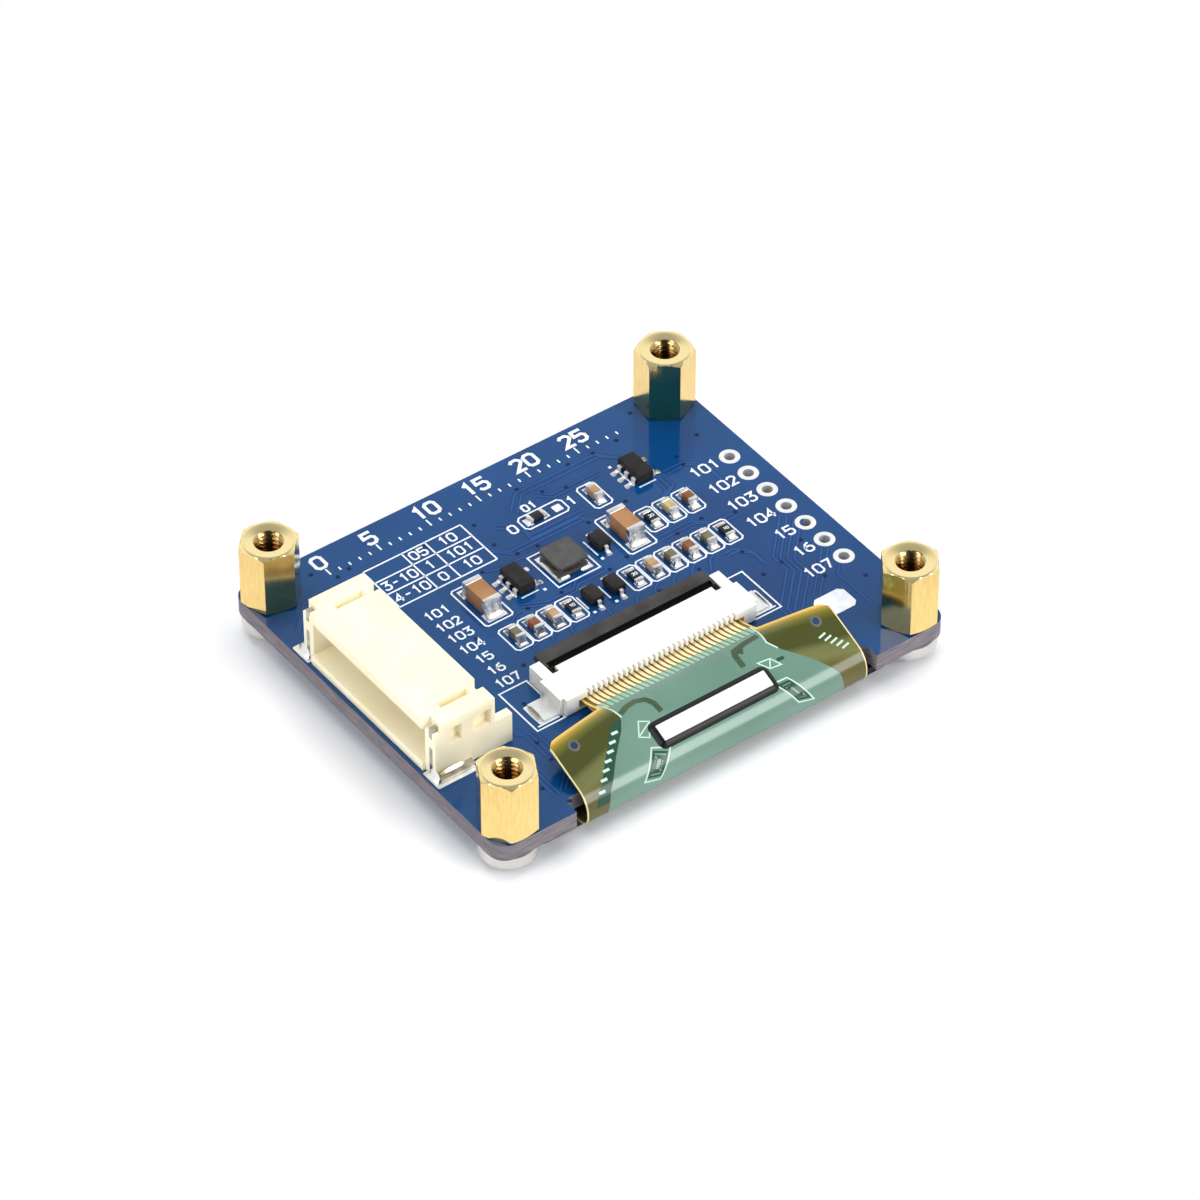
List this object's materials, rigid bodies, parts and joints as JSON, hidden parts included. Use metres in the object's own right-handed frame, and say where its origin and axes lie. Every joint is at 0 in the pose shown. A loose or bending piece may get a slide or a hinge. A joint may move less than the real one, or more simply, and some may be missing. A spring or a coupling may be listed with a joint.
{
  "type": "small oled module",
  "caption": "Display panel on a square blue board with brass standoffs, a side-entry wire connector, a flat-cable socket with a flip-up latch and the panel's folded flex.",
  "frame": {"origin": "middle of the panel's viewing face, under the board's middle", "axes": "+Z from the viewing face up through the board, +X towards the row of seven soldering holes, +Y away from the folded flex"},
  "size_m": [0.045, 0.0375, 0.0097],
  "materials": {
    "board_laminate": "glossy blue solder mask over woven glass laminate",
    "panel_glass": "dark display glass",
    "polariser_film": "dark grey polarising film",
    "foam_tape": "black foam tape",
    "brass": "bright turned brass",
    "nickel_steel": "nickel-plated steel",
    "cream_plastic": "cream moulded plastic",
    "white_plastic": "white moulded plastic",
    "black_plastic": "black moulded plastic",
    "tinned_metal": "tinned copper alloy",
    "flex_film": "amber polyimide with a green cover over its middle",
    "silicon": "polished bare chip",
    "black_resin": "black moulding resin",
    "capacitor_ceramic": "brown to olive ceramic with tinned end bands",
    "resistor_coat": "black coat on white ceramic with tinned end bands",
    "ferrite": "grey ferrite",
    "coil_varnish": "dark varnished copper coil"
  },
  "bodies": {
    "module": {"capacitor_1": "capacitor_ceramic", "capacitor_10": "capacitor_ceramic", "capacitor_2": "capacitor_ceramic", "capacitor_3": "capacitor_ceramic", "capacitor_4": "capacitor_ceramic", "capacitor_5": "capacitor_ceramic", "capacitor_6": "capacitor_ceramic", "capacitor_7": "capacitor_ceramic", "capacitor_8": "capacitor_ceramic", "capacitor_9": "capacitor_ceramic", "chip_resin": "black_resin", "circuit_board": "board_laminate", "diode_1_case": "black_resin", "diode_1_leads": "tinned_metal", "diode_2_case": "black_resin", "diode_2_leads": "tinned_metal", "diode_3_case": "black_resin", "diode_3_leads": "tinned_metal", "display_flex": "flex_film", "driver_chip": "silicon", "front_glass": "panel_glass", "hold_down_left": "tinned_metal", "hold_down_right": "tinned_metal", "inductor_core": "ferrite", "inductor_winding": "coil_varnish", "mounting_tape": "foam_tape", "polariser": "polariser_film", "rear_glass": "panel_glass", "regulator_1_case": "black_resin", "regulator_1_leads": "tinned_metal", "regulator_2_case": "black_resin", "regulator_2_leads": "tinned_metal", "resistor_1": "resistor_coat", "resistor_2": "resistor_coat", "resistor_3": "resistor_coat", "resistor_4": "resistor_coat", "resistor_5": "resistor_coat", "ribbon_contacts": "tinned_metal", "ribbon_socket": "white_plastic", "ribbon_tab_left": "tinned_metal", "ribbon_tab_right": "tinned_metal", "screw_back_left": "nickel_steel", "screw_back_right": "nickel_steel", "screw_front_left": "nickel_steel", "screw_front_right": "nickel_steel", "standoff_back_left": "brass", "standoff_back_right": "brass", "standoff_front_left": "brass", "standoff_front_right": "brass", "storage_capacitor_1": "capacitor_ceramic", "storage_capacitor_2": "capacitor_ceramic", "wire_contact_1": "tinned_metal", "wire_contact_2": "tinned_metal", "wire_contact_3": "tinned_metal", "wire_contact_4": "tinned_metal", "wire_contact_5": "tinned_metal", "wire_contact_6": "tinned_metal", "wire_contact_7": "tinned_metal", "wire_housing": "cream_plastic"},
    "latch": {"ribbon_latch": "black_plastic"}
  },
  "joints": [
    {"name": "latch_flip", "type": "hinge", "parent": "module", "child": "latch", "pos_m": [0.00022, -0.00507, 0.00495], "axis": [1, 0, 0], "range_deg": [0, 90]}
  ]
}
